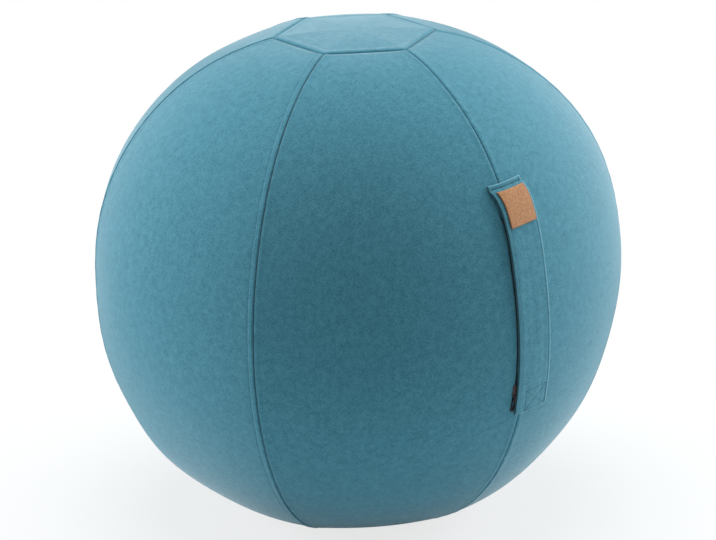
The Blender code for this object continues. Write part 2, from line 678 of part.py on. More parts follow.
def strap():
    """The strap's sewn ends, its free span, which lifts, and the patch on the span."""
    half = STRAP_WIDTH / 2
    gap = arc_degrees(FIT_GAP)
    middle = strap_point((SPAN_LOW + SPAN_HIGH) / 2, 0.0, 0.0)
    stretch = (-half, half, 0.0, STRAP_THICKNESS, FELT)
    strap_sheet("strap_lower_end", STRAP_FOOT_LATITUDE, SPAN_LOW, *stretch)
    span = strap_sheet("strap_span", SPAN_LOW + gap, SPAN_HIGH - gap, *stretch, middle)
    strap_sheet("strap_upper_end", SPAN_HIGH, STRAP_TOP_LATITUDE, *stretch)
    top = SPAN_HIGH - arc_degrees(LABEL_INSET)
    left = LABEL_SHIFT - LABEL_WIDTH / 2
    patch = strap_sheet("label_patch", top - arc_degrees(LABEL_HEIGHT), top, left, left + LABEL_WIDTH,
                        STRAP_THICKNESS + FIT_GAP, LABEL_THICKNESS, TAN_PATCH, middle)
    patch.parent = span
    patch.location = (0.0, 0.0, 0.0)


for existing in list(bpy.data.objects):
    bpy.data.objects.remove(existing, do_unlink=True)
bladder_and_valve()
for number in range(SEAM_COUNT):
    side_panel(number)
cap_panel("top_panel", 1, TOP_CROWN)
cap_panel("base_panel", -1, 0.0)
zip_fixed_parts()
zip_slider()
strap()
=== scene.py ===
"""Dressed model of a sitting ball: a zipped felt cover over an inflated bladder, with a carrying strap."""

import math

import bpy
import numpy as np
from mathutils import Matrix, Vector


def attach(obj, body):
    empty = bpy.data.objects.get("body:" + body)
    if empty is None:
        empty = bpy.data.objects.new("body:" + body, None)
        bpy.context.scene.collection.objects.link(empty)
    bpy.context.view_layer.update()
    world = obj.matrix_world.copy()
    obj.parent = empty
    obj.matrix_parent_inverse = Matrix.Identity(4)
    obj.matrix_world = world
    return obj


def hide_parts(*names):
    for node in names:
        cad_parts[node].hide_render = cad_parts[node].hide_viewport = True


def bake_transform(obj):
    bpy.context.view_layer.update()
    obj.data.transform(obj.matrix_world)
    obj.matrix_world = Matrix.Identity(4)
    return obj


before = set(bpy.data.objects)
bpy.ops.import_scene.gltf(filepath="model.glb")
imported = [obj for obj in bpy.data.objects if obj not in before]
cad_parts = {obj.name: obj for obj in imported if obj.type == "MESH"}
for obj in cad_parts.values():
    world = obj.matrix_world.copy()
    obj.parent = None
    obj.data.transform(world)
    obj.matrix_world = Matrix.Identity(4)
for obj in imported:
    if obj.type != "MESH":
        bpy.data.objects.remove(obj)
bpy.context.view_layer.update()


# Camera. It stands 4.5 m from the middle of the ball, above it and to the left of the strap, and a long lens
# keeps the ball almost free of perspective.

FRAME_WIDTH = 716
FRAME_HEIGHT = 540
FRAME_CENTRE = (358.56, 268.63)
FOCAL_PIXELS = 3682.5
SENSOR_WIDTH = 36.0
CAMERA_DISTANCE = 4.5
CAMERA_AZIMUTH = math.radians(-124.09)
CAMERA_ELEVATION = math.radians(18.533)
CAMERA_ROLL = math.radians(-0.973)
BALL_MIDDLE = Vector((0.0, 0.0, 0.297))

camera_data = bpy.data.cameras.new("camera")
camera_data.sensor_width = SENSOR_WIDTH
camera_data.lens = SENSOR_WIDTH * FOCAL_PIXELS / FRAME_WIDTH
camera_data.shift_x = (FRAME_WIDTH / 2 - FRAME_CENTRE[0]) / FRAME_WIDTH
camera_data.shift_y = (FRAME_CENTRE[1] - FRAME_HEIGHT / 2) / FRAME_WIDTH
camera_data.clip_end = 50.0
camera = bpy.data.objects.new("camera", camera_data)
bpy.context.collection.objects.link(camera)
back = Vector((math.cos(CAMERA_AZIMUTH) * math.cos(CAMERA_ELEVATION),
               math.sin(CAMERA_AZIMUTH) * math.cos(CAMERA_ELEVATION),
               math.sin(CAMERA_ELEVATION)))
level_right = Vector((0.0, 0.0, 1.0)).cross(back).normalized()
level_up = back.cross(level_right)
right = level_right * math.cos(CAMERA_ROLL) + level_up * math.sin(CAMERA_ROLL)
up = level_up * math.cos(CAMERA_ROLL) - level_right * math.sin(CAMERA_ROLL)
turn = Matrix((right, up, back)).transposed()
camera.matrix_world = Matrix.Translation(BALL_MIDDLE + back * CAMERA_DISTANCE) @ turn.to_4x4()
bpy.context.scene.camera = camera


# Studio: a pale floor that fades to white away from the ball, soft lights above and at both sides, and a
# white surround. The side towards the camera gets the least light.

FLOOR_SIZE = 16.0
FLOOR_DROP = 0.0006
FLOOR_COLOUR = (0.80, 0.87, 0.89, 1.0)
FLOOR_ROUGHNESS = 0.9
FLOOR_GLOSS = 0.1
FLOOR_CLEAR_NEAR = 0.76     # share of white under the ball
FLOOR_CLEAR_FROM = 0.22     # distance from the ball's middle where the white grows
FLOOR_CLEAR_TO = 0.80       # and where it is full
SURROUND_LIGHT = 0.198
WHITE = (1.0, 1.0, 1.0, 1.0)
LIGHTS = (                  # name, place, width and power in watts
    ("light_top", (0.1, 0.2, 2.6), 2.4, 54.5),
    ("light_left", (-2.3, 1.9, 0.9), 1.8, 72.0),
    ("light_right", (2.3, -0.9, 1.1), 2.2, 59.0),
)


class Paint:
    """A socket of a shader's nodes, so that shader maths is written as plain sums and products."""

    def __init__(self, tree, socket=None):
        self.tree = tree
        self.socket = socket

    def node(self, kind, settings, inputs, output=0):
        """A new node. Its settings come first, then the values or links of its sockets."""
        made = self.tree.nodes.new(kind)
        for name, value in settings.items():
            setattr(made, name, value)
        for name, value in inputs.items():
            if isinstance(value, Paint):
                self.tree.links.new(value.socket, made.inputs[name])
            else:
                made.inputs[name].default_value = value
        return Paint(self.tree, made.outputs[output])

    def maths(self, operation, first, second=0.0):
        return self.node("ShaderNodeMath", {"operation": operation}, {0: first, 1: second})

    def __add__(self, other):
        return self.maths("ADD", self, other)

    def __sub__(self, other):
        return self.maths("SUBTRACT", self, other)

    def __rsub__(self, other):
        return self.maths("SUBTRACT", other, self)

    def __mul__(self, other):
        return self.maths("MULTIPLY", self, other)

    def __truediv__(self, other):
        return self.maths("DIVIDE", self, other)

    __radd__ = __add__
    __rmul__ = __mul__

    def most(self, other):
        return self.maths("MAXIMUM", self, other)

    def mix(self, factor, first, second):
        """A colour between two colours."""
        return self.node("ShaderNodeMix", {"data_type": "RGBA"}, {0: factor, 6: first, 7: second}, 2)

    def seen_rays(self):
        """1 on what the camera sees straight on, in a reflection or through glass."""
        names = ("Is Camera Ray", "Is Glossy Ray", "Is Transmission Ray")
        rays = [self.node("ShaderNodeLightPath", {}, {}, name) for name in names]
        return rays[0].most(rays[1]).most(rays[2])


bpy.ops.object.select_all(action="DESELECT")
bpy.ops.mesh.primitive_plane_add(size=FLOOR_SIZE)
floor = bpy.context.object
floor.name = "floor"
floor.data.transform(Matrix.Translation((0.0, 0.0, -FLOOR_DROP)))
floor_finish = bpy.data.materials.new("pale_floor")
floor_finish.use_nodes = True
paint = Paint(floor_finish.node_tree)
floor_shader = floor_finish.node_tree.nodes["Principled BSDF"]
floor_shader.inputs["Base Color"].default_value = FLOOR_COLOUR
floor_shader.inputs["Roughness"].default_value = FLOOR_ROUGHNESS
floor_shader.inputs["Specular IOR Level"].default_value = FLOOR_GLOSS
place = paint.node("ShaderNodeTexCoord", {}, {}, "Object")
reach = paint.node("ShaderNodeVectorMath", {"operation": "LENGTH"}, {0: place}, "Value")
clear = paint.node("ShaderNodeMapRange", {"interpolation_type": "SMOOTHERSTEP"},
                   {"Value": reach, "From Min": FLOOR_CLEAR_FROM, "From Max": FLOOR_CLEAR_TO,
                    "To Min": FLOOR_CLEAR_NEAR})
white = paint.node("ShaderNodeEmission", {}, {"Color": WHITE, "Strength": 1.0})
lit = Paint(floor_finish.node_tree, floor_shader.outputs["BSDF"])
mixed = paint.node("ShaderNodeMixShader", {}, {0: paint.seen_rays() * clear, 1: lit, 2: white})
floor_out = floor_finish.node_tree.nodes["Material Output"]
floor_finish.node_tree.links.new(mixed.socket, floor_out.inputs["Surface"])
floor.data.materials.append(floor_finish)

world = bpy.data.worlds.new("surround")
world.use_nodes = True
bpy.context.scene.world = world
paint = Paint(world.node_tree)
dim = paint.node("ShaderNodeBackground", {}, {"Color": WHITE, "Strength": SURROUND_LIGHT})
bright = paint.node("ShaderNodeBackground", {}, {"Color": WHITE, "Strength": 1.0})
mixed = paint.node("ShaderNodeMixShader", {}, {0: paint.seen_rays(), 1: dim, 2: bright})
world.node_tree.links.new(mixed.socket, world.node_tree.nodes["World Output"].inputs["Surface"])

for name, spot, size, power in LIGHTS:
    lamp = bpy.data.lights.new(name, "AREA")
    lamp.shape = "DISK"
    lamp.size = size
    lamp.energy = power
    light = bpy.data.objects.new(name, lamp)
    light.location = spot
    light.rotation_mode = "QUATERNION"
    light.rotation_quaternion = (BALL_MIDDLE - Vector(spot)).to_track_quat("-Z", "Y")
    bpy.context.collection.objects.link(light)

bpy.context.scene.view_settings.view_transform = "Standard"


# Bladder: the inflated ball of soft vinyl that fills the cover, with a push-in valve in its side. The cover
# hides it and takes on its shape, which is a few millimetres out of round.

VINYL_DARK = (0.23, 0.24, 0.25, 1.0)
VINYL_LIGHT = (0.33, 0.34, 0.35, 1.0)
VALVE_DARK = (0.68, 0.68, 0.67, 1.0)
VALVE_LIGHT = (0.78, 0.78, 0.77, 1.0)
GRAIN_SPREAD = 0.2          # how much the grain changes the roughness
SWELLINGS = (               # latitude, azimuth, spread in degrees and height of each swelling or flat place
    (27.8, -28.9, 11.0, 0.0038),
    (63.3, 116.1, 9.0, -0.0035),
    (26.9, 141.1, 8.0, 0.0021),
    (-1.5, 150.8, 9.0, -0.0046),
    (-37.6, 166.6, 9.0, 0.0064),
    (-60.0, -167.0, 11.0, 0.0035),
    (-38.5, -55.4, 9.0, -0.0035),
    (-13.8, -43.3, 9.0, -0.0037),
)
SWELLING_FROM = 71.9        # the hexagons past this latitude stay true
SWELLING_FADE = 8.0         # latitude over which the swellings fade before it


def new_finish(name, roughness, metallic=0.0):
    """A material with its shader and a place to start its nodes."""
    material = bpy.data.materials.new(name)
    material.use_nodes = True
    shader = material.node_tree.nodes["Principled BSDF"]
    shader.inputs["Roughness"].default_value = roughness
    shader.inputs["Metallic"].default_value = metallic
    return material, shader, Paint(material.node_tree)


def feed(paint, value, socket):
    """Link a value to a socket of the shader."""
    paint.tree.links.new(value.socket, socket)


def moulded_finish(name, dark, light, roughness):
    """Moulded plastic: faint flow marks in the colour and a fine grain on the surface."""
    material, shader, paint = new_finish(name, roughness)
    place = paint.node("ShaderNodeTexCoord", {}, {}, "Object")
    cloud = paint.node("ShaderNodeTexNoise", {}, {"Vector": place, "Scale": 40.0, "Detail": 3.0})
    grain = paint.node("ShaderNodeTexNoise", {}, {"Vector": place, "Scale": 1500.0, "Detail": 2.0})
    feed(paint, paint.mix(cloud, dark, light), shader.inputs["Base Color"])
    feed(paint, roughness - GRAIN_SPREAD / 2 + grain * GRAIN_SPREAD, shader.inputs["Roughness"])
    bump = paint.node("ShaderNodeBump", {}, {"Strength": 0.15, "Distance": 0.0003, "Height": grain})
    feed(paint, bump, shader.inputs["Normal"])
    return material


def refinish(node, material):
    """Give a CAD node that stays a material of this file."""
    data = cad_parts[node].data
    data.materials.clear()
    data.materials.append(material)


def ease(value):
    value = min(max(value, 0.0), 1.0)
    return value * value * (3 - 2 * value)


def way_to(latitude, azimuth):
    """The direction of a place from the middle of the ball."""
    rise = math.radians(latitude)
    turn = math.radians(azimuth)
    return Vector((math.cos(rise) * math.cos(turn), math.cos(rise) * math.sin(turn), math.sin(rise)))


SWELLING_SPOTS = [(way_to(latitude, azimuth), math.radians(spread) ** 2, height)
                  for latitude, azimuth, spread, height in SWELLINGS]


def swelling(way, latitude):
    """How far the ball stands out of round in a direction."""
    height = sum(rise * math.exp((way.dot(spot) - 1) / spread) for spot, spread, rise in SWELLING_SPOTS)
    return height * ease((SWELLING_FROM - abs(latitude)) / SWELLING_FADE)


def merge_points(piece, distance=1e-6, face_out=False):
    """Merge the points that meet, and turn all faces outwards if asked."""
    bpy.ops.object.select_all(action="DESELECT")
    bpy.context.view_layer.objects.active = piece
    piece.select_set(True)
    bpy.ops.object.mode_set(mode="EDIT")
    bpy.ops.mesh.select_all(action="SELECT")
    bpy.ops.mesh.remove_doubles(threshold=distance)
    if face_out:
        bpy.ops.mesh.normals_make_consistent(inside=False)
    bpy.ops.object.mode_set(mode="OBJECT")


def cad_copy(node, name):
    """A copy of a CAD piece in its place, with its faces joined up."""
    bpy.context.view_layer.update()
    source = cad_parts[node]
    piece = bpy.data.objects.new(name, source.data.copy())
    piece.data.transform(source.matrix_world)
    bpy.context.collection.objects.link(piece)
    merge_points(piece, face_out=True)
    return piece


def dress(piece, material, body, slot, *nodes):
    """Give a piece its material and body, and hide the CAD nodes it stands for. The slot is not used."""
    piece.data.materials.clear()
    piece.data.materials.append(material)
    if body:
        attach(piece, body)
    if nodes:
        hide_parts(*nodes)


vinyl = moulded_finish("soft_vinyl", VINYL_DARK, VINYL_LIGHT, roughness=0.5)
valve_plastic = moulded_finish("valve_plastic", VALVE_DARK, VALVE_LIGHT, roughness=0.45)
bladder = cad_copy("bladder", "bladder_skin")
for vertex in bladder.data.vertices:
    way = (vertex.co - BALL_MIDDLE).normalized()
    vertex.co += way * swelling(way, math.degrees(math.asin(way.z)))
dress(bladder, vinyl, "ball", "vinyl", "bladder")
refinish("valve_collar", valve_plastic)
refinish("valve_plug", valve_plastic)


# Cover: six curved side panels of melange wool felt, sewn edge to edge and turned in at the seams, with a
# hexagon of the same felt at the top and one at the base. The bladder stretches them tight.

BALL_RADIUS = 0.325
HALF_HEIGHT = 0.297
HEXAGON_RADIUS = 0.097
ROUND_LATITUDE = 34.4
PANEL_FLATNESS = 0.17
RIM_ROUNDING = 3.2
TOP_CROWN = 0.006
SEAM_COUNT = 6
SECTOR = 360.0 / SEAM_COUNT
RIM_LATITUDE = math.degrees(math.atan2(HALF_HEIGHT, HEXAGON_RADIUS))
SEAM_AZIMUTH = -86.2
SEAM_LEAN = 1.4
LEAN_LATITUDE = 55.0
ZIP_AZIMUTH = -90.13
ZIP_TILT = 0.33
ZIP_LOW = -14.57
ZIP_HIGH = 24.27
ZIP_BEND_LOW = 3.8          # latitude over which the seam bends away below the zip
ZIP_BEND_HIGH = 6.5         # and above it
ZIP_EDGE = 0.0007           # from the zip's middle line to the panels' folded edges
ZIP_SET_BACK = 0.0046       # and to the edge on the right above the slider, which the strap covers
ZIP_LAP = 0.0007            # how far the edge on the left laps over the middle line there
SET_BACK_FROM = -13.5       # latitudes between which the edges go over to that
SET_BACK_FULL = -10.0
ZIP_SHIFT = 0.0025          # how far the opening moves in under the strap towards its top
SHIFT_FROM = 14.0           # latitudes between which it does so
SHIFT_FULL = 21.0
ZIP_VALLEY = 0.0011         # how far the felt dips on the strap's side of the zip
ZIP_VALLEY_WIDTH = 0.006
ZIP_END = 2.0               # latitude over which the opening closes
PANEL_ROWS = 230
PANEL_MIDDLE = 25           # columns between the fine ones along the two seams
SEAM_COLUMNS = (0.0, 0.0004, 0.0009, 0.0015, 0.0022, 0.0030, 0.0039, 0.0049, 0.0059, 0.0067, 0.0075,
                0.0084, 0.0095, 0.0111, 0.0135, 0.0170, 0.0220, 0.0290, 0.0380)
PANEL_COLUMNS = 2 * len(SEAM_COLUMNS) + PANEL_MIDDLE
CLOTH_RADIUS = 0.322        # of the ball on which the flat panels are measured
FELT_THICKNESS = 0.0016
SEAM_GAP = 0.0002
EDGE_ROUND = 0.0021         # radius at which the felt turns in at a seam
TURN_IN = 0.0048            # how far the turned-in edge shows inside the seam
ZIP_TURN_IN = 0.0008        # and at the zip, above the slider
PUCKER_HEIGHT = 0.00010
PUCKER_PLACE = (0.004, 0.006)               # distance from the seam, and reach
PUCKER_WAVES = ((1.0, 290.0, 1.0), (0.7, 171.0, 2.1))       # height, pace along the seam, share of the phase
PUCKER_PHASES = (1.7, 2.9)                  # from panel to panel, on its left and right, so that none match
RIDGE_HEIGHT = 0.0009       # over the layers of a pressed and topstitched seam
RIDGE_WIDTH = 0.0070        # from the seam to its topstitch
RIDGE_FALL_FROM = 0.0016    # how far before the topstitch the ridge starts to fall
RIDGE_FALL = 0.0014
RIDGE_DENT = 0.00022
DENT_PLACE = (RIDGE_WIDTH * 0.52, 0.0009)
STITCH_GROOVE = 0.00040     # drawn in by the topstitch
GROOVE_PLACE = (RIDGE_WIDTH, 0.0007)
PLAIN_ROLL = 0.00035        # swell along the side of a seam that has no topstitch
ROLL_PLACE = (0.0042, 0.0026)
FELT_ROUGHNESS = 0.95
FELT_GLOSS = 0.15
FELT_SHEEN = 0.55
SHEEN_ROUGHNESS = 0.40
SHEEN_TINT = (0.86, 0.96, 1.0, 1.0)
FIBRE_LEANS = (0.2, 1.25, 2.3)              # the ways that the fibres lie, in radians
FIBRE_SCALE = (260.0, 2600.0, 1.0)          # long one way and fine the other
FIBRE_SWIRL = (0.004, 0.004, 0.0)           # how far they wander
STREAK_SCALE = (150.0, 6.0, 1.0)
FIBRE_WEIGHT = 0.85         # how strongly fibres, specks, mottling and streaks show
SPECK_WEIGHT = 1.1
MOTTLE_WEIGHT = 0.95
STREAK_WEIGHT = 0.9
FIBRE_RELIEF = 0.6          # and how strongly fibres and specks stand up
SPECK_RELIEF = 0.5
FOLD_HIGHLIGHT_REACH = 0.0016         # width over which the painted highlight along a band's edges fades
FOLD_HIGHLIGHT_START = 1.25           # reaches inside the edge where that starts
FOLD_HIGHLIGHT_SHARE = 0.75
SIDE_SHADE_REACH = 0.0005         # the same for the painted shade on the band's left side
SIDE_SHADE_START = 2.2
SIDE_SHADE_SHARE = 0.9
FELT_DARK = (0.036, 0.165, 0.231, 1.0)
FELT_LIGHT = (0.088, 0.292, 0.379, 1.0)
FELT_FOLD_HIGHLIGHT = (0.170, 0.430, 0.530, 1.0)      # painted highlight where the strap's folds and ends catch the light
FELT_SIDE_SHADE = (0.008, 0.055, 0.080, 1.0)      # painted shade on the strap's left side face, which the lamps do not reach


def shoulder_arc():
    """Centre and radius, in (out, up), of the arc from the round part of a seam to the rim."""
    angle = math.radians(ROUND_LATITUDE)
    out_way = Vector((math.cos(angle), math.sin(angle)))
    start = out_way * BALL_RADIUS
    chord = Vector((HEXAGON_RADIUS, HALF_HEIGHT)) - start
    radius = -chord.length_squared / (2 * chord.dot(out_way))
    return start - out_way * radius, radius


SHOULDER_CENTRE, SHOULDER_RADIUS = shoulder_arc()


def seam_point(latitude):
    """A point of a seam, and the way out from it, both in (out, up)."""
    angle = math.radians(abs(latitude))
    ray = Vector((math.cos(angle), math.sin(angle)))
    if abs(latitude) <= ROUND_LATITUDE:
        point = ray * BALL_RADIUS
        way = ray
    else:
        along = SHOULDER_CENTRE.dot(ray)
        off_centre = SHOULDER_CENTRE.length_squared - SHOULDER_RADIUS ** 2
        point = ray * (along + math.sqrt(along ** 2 - off_centre))
        way = (point - SHOULDER_CENTRE) / SHOULDER_RADIUS
    if latitude < 0:
        return Vector((point.x, -point.y)), Vector((way.x, -way.y))
    return point, way


def past_zip(latitude):
    return max(ZIP_LOW - latitude, latitude - ZIP_HIGH, 0.0)


def zip_frame():
    """Where the zip crosses the widest level, the way out from the ball and the way up along the zip."""
    turn = math.radians(ZIP_AZIMUTH)
    tilt = math.radians(ZIP_TILT)
    out = Vector((math.cos(turn), math.sin(turn), 0.0))
    right = Vector((-math.sin(turn), math.cos(turn), 0.0))
    up = Vector((0.0, 0.0, 1.0))
    return out, up * math.cos(tilt) - right * math.sin(tilt)


ZIP_OUT, ZIP_UP = zip_frame()


def zip_azimuth(latitude):
    """The azimuth of the zip's middle line."""
    angle = math.asin(math.sin(math.radians(latitude)) / ZIP_UP.z)
    spot = ZIP_OUT * math.cos(angle) + ZIP_UP * math.sin(angle)
    return math.degrees(math.atan2(spot.y, spot.x))


def seam_azimuth(seam, latitude):
    """The azimuth of a seam. Seams count round from the zip's, which bends away to follow the zip."""
    azimuth = SEAM_AZIMUTH + SECTOR * seam
    if seam % SEAM_COUNT:
        return azimuth
    fade = ease((abs(latitude) - LEAN_LATITUDE) / (RIM_LATITUDE - LEAN_LATITUDE))
    azimuth -= SEAM_LEAN * (1 - fade)
    bend = ease(past_zip(latitude) / (ZIP_BEND_LOW if latitude < ZIP_LOW else ZIP_BEND_HIGH))
    if bend == 1.0:
        return azimuth
    return azimuth * bend + (zip_azimuth(latitude) + SECTOR * seam) * (1 - bend)


def surface_point(latitude, azimuth, share, depth):
    """A point under the cover's outer surface. share runs from 0 to 1 across a panel."""
    (out, up), (way_out, way_up) = seam_point(latitude)
    from_rim = RIM_LATITUDE - abs(latitude)
    flatness = PANEL_FLATNESS + (1 - PANEL_FLATNESS) * math.exp(-from_rim / RIM_ROUNDING)
    half_sector = math.radians(SECTOR / 2)
    side = math.cos(half_sector) / math.cos((2 * share - 1) * half_sector)
    depth -= swelling(way_to(latitude, azimuth), latitude)
    out = out * (1 - flatness + flatness * side) - depth * way_out
    turn = math.radians(azimuth)
    return Vector((out * math.cos(turn), out * math.sin(turn), HALF_HEIGHT + up - depth * way_up))


def bump_at(distance, middle, width):
    """A smooth bump of height 1."""
    return math.exp(-((distance - middle) / width) ** 2)


def edge_depth(distance, rounding=EDGE_ROUND):
    """How far the felt has turned in, near its edge."""
    short = max(rounding - distance, 0.0) / rounding
    return rounding * (1 - math.sqrt(max(1 - short * short, 0.0)))


def seam_depth(distance, along, topstitched, phase):
    """Depth of the felt under the smooth surface, beside a seam."""
    pucker = sum(size * math.sin(along * pace + share * phase) for size, pace, share in PUCKER_WAVES)
    depth = edge_depth(distance) + PUCKER_HEIGHT * pucker * bump_at(distance, *PUCKER_PLACE)
    if topstitched:
        rise = 1 - ease((distance - RIDGE_WIDTH + RIDGE_FALL_FROM) / RIDGE_FALL)
        dent = RIDGE_DENT * bump_at(distance, *DENT_PLACE)
        depth -= RIDGE_HEIGHT * rise - dent
        depth += STITCH_GROOVE * bump_at(distance, *GROOVE_PLACE)
    else:
        depth -= PLAIN_ROLL * bump_at(distance, *ROLL_PLACE)
    return depth


def zip_share(seam, latitude):
    """1 where a seam is open for the zip, falling to 0 past its ends."""
    if seam % SEAM_COUNT:
        return 0.0
    return 1 - ease(past_zip(latitude) / ZIP_END)


def zip_opening(seam, latitude):
    """How far a panel's edge stands off its seam. Seam 0 is the zip's right side, the last one its left."""
    above = ease((latitude - SET_BACK_FROM) / (SET_BACK_FULL - SET_BACK_FROM))
    shift = ZIP_SHIFT * ease((latitude - SHIFT_FROM) / (SHIFT_FULL - SHIFT_FROM))
    edge = ZIP_SET_BACK + shift if seam == 0 else -ZIP_LAP - shift
    return (ZIP_EDGE + (edge - ZIP_EDGE) * above) * zip_share(seam, latitude)


def shaped_grid(name, columns, rows, shape):
    """A grid with each point carried to its place. shape(column, row) gives that and the flat place."""
    bpy.ops.object.select_all(action="DESELECT")
    bpy.ops.mesh.primitive_grid_add(x_subdivisions=columns - 1, y_subdivisions=rows - 1, size=1.0)
    piece = bpy.context.object
    piece.name = name
    mesh = piece.data
    mesh.name = name
    flat = {}
    for vertex in mesh.vertices:
        column = round((vertex.co.x + 0.5) * (columns - 1))
        row = round((vertex.co.y + 0.5) * (rows - 1))
        vertex.co, flat[vertex.index] = shape(column, row)
    layer = mesh.uv_layers.active
    layer.name = "cloth"
    for loop in mesh.loops:
        layer.data[loop.index].uv = flat[loop.vertex_index]
    mesh.shade_smooth()
    return piece


def apply_modifier(piece, kind, **settings):
    """Add a modifier with its settings and apply it."""
    bpy.ops.object.select_all(action="DESELECT")
    bpy.context.view_layer.objects.active = piece
    piece.select_set(True)
    step = piece.modifiers.new(kind.lower(), kind)
    for key, value in settings.items():
        setattr(step, key, value)
    bpy.ops.object.modifier_apply(modifier=step.name)


def felt_finish(name, band=None):
    """Melange felt: fine fibres of a darker and a lighter blue lying all ways, soft mottling and a fuzz.

    A band, given as its half width and its two ends, has soft streaks along it and a painted highlight at
    its edges and ends. Painted shade darkens the side face on its left.
    """
    material, shader, paint = new_finish(name, FELT_ROUGHNESS)
    shader.inputs["Specular IOR Level"].default_value = FELT_GLOSS
    shader.inputs["Sheen Weight"].default_value = FELT_SHEEN
    shader.inputs["Sheen Roughness"].default_value = SHEEN_ROUGHNESS
    shader.inputs["Sheen Tint"].default_value = SHEEN_TINT
    lie = paint.node("ShaderNodeUVMap", {"uv_map": "cloth"}, {})
    warp = paint.node("ShaderNodeTexNoise", {}, {"Vector": lie, "Scale": 160.0, "Detail": 1.0}, "Color")
    swirl = paint.node("ShaderNodeVectorMath", {"operation": "MULTIPLY_ADD"},
                       {0: warp, 1: FIBRE_SWIRL, 2: lie})
    fibres = None
    for lean in FIBRE_LEANS:
        laid = paint.node("ShaderNodeMapping", {}, {"Vector": swirl, "Rotation": (0.0, 0.0, lean),
                                                    "Scale": FIBRE_SCALE})
        streak = paint.node("ShaderNodeTexNoise", {}, {"Vector": laid, "Scale": 1.0, "Detail": 2.0})
        fibres = streak if fibres is None else fibres + streak
    place = paint.node("ShaderNodeTexCoord", {}, {}, "Object")
    speck = paint.node("ShaderNodeTexNoise", {}, {"Vector": place, "Scale": 520.0, "Detail": 3.0})
    mottle = paint.node("ShaderNodeTexNoise", {}, {"Vector": place, "Scale": 130.0, "Detail": 3.0})
    tone = 0.5 + (fibres - len(FIBRE_LEANS) / 2) * FIBRE_WEIGHT
    tone = tone + (speck - 0.5) * SPECK_WEIGHT + (mottle - 0.5) * MOTTLE_WEIGHT
    if band:
        long = paint.node("ShaderNodeMapping", {}, {"Vector": lie, "Scale": STREAK_SCALE})
        streaks = paint.node("ShaderNodeTexNoise", {}, {"Vector": long, "Scale": 1.0, "Detail": 2.0})
        tone = tone + (streaks - 0.5) * STREAK_WEIGHT
    shade = paint.node("ShaderNodeClamp", {}, {"Value": tone})
    colour = paint.mix(shade, FELT_DARK, FELT_LIGHT)
    if band:
        half_width, low_end, high_end = band
        across = paint.node("ShaderNodeSeparateXYZ", {}, {"Vector": lie}, "X")
        along = paint.node("ShaderNodeSeparateXYZ", {}, {"Vector": lie}, "Y")
        past = paint.maths("ABSOLUTE", across) - half_width
        past = past.most(low_end - along).most(along - high_end)
        # painted highlight along the band's folded edges and its ends
        fold_highlight = paint.node("ShaderNodeClamp", {}, {"Value": past / FOLD_HIGHLIGHT_REACH + FOLD_HIGHLIGHT_START})
        colour = paint.mix(fold_highlight * FOLD_HIGHLIGHT_SHARE, colour, FELT_FOLD_HIGHLIGHT)
        # painted shade on the band's left side face, where the light does not reach
        past_left = 0.0 - across - half_width
        side_shade = paint.node("ShaderNodeClamp", {}, {"Value": past_left / SIDE_SHADE_REACH + SIDE_SHADE_START})
        colour = paint.mix(side_shade * SIDE_SHADE_SHARE, colour, FELT_SIDE_SHADE)
    feed(paint, colour, shader.inputs["Base Color"])
    height = fibres * FIBRE_RELIEF + speck * SPECK_RELIEF
    bump = paint.node("ShaderNodeBump", {}, {"Strength": 0.35, "Distance": 0.0006, "Height": height})
    feed(paint, bump, shader.inputs["Normal"])
    return material


felt = felt_finish("melange_felt")
ROW_LATITUDES = [RIM_LATITUDE * (2 * row / (PANEL_ROWS - 3) - 1) for row in range(PANEL_ROWS - 2)]
ROW_LATITUDES = [-RIM_LATITUDE] + ROW_LATITUDES + [RIM_LATITUDE]
METRES_PER_DEGREE = math.radians(1) * CLOTH_RADIUS


def panel_span(panel, latitude):
    """The azimuth where a panel starts, its width in metres, and the degrees that a metre across takes."""
    low = seam_azimuth(panel, latitude)
    to_degrees = math.degrees(1 / seam_point(latitude)[0].x)
    return low, (seam_azimuth(panel + 1, latitude) - low) / to_degrees, to_degrees


def felt_point(panel, latitude, across, turned=0.0):
    """A point of a side panel's felt, by its distance across from the panel's first seam."""
    low, width, to_degrees = panel_span(panel, latitude)
    along = latitude * METRES_PER_DEGREE
    from_left = across - zip_opening(panel, latitude) - SEAM_GAP
    from_right = width - across - zip_opening(panel + 1, latitude) - SEAM_GAP
    topstitched = (panel + 1) % SEAM_COUNT != 0
    depth = seam_depth(from_left, along, False, panel * PUCKER_PHASES[0])
    depth += seam_depth(from_right, along, topstitched, panel * PUCKER_PHASES[1] + 1)
    depth += ZIP_VALLEY * zip_share(panel, latitude) * (1 - ease(from_left / ZIP_VALLEY_WIDTH))
    from_rim = (RIM_LATITUDE - abs(latitude)) * METRES_PER_DEGREE
    if from_rim < EDGE_ROUND:
        depth = max(depth, edge_depth(from_rim))
    return surface_point(latitude, low + across * to_degrees, across / width, depth + turned)


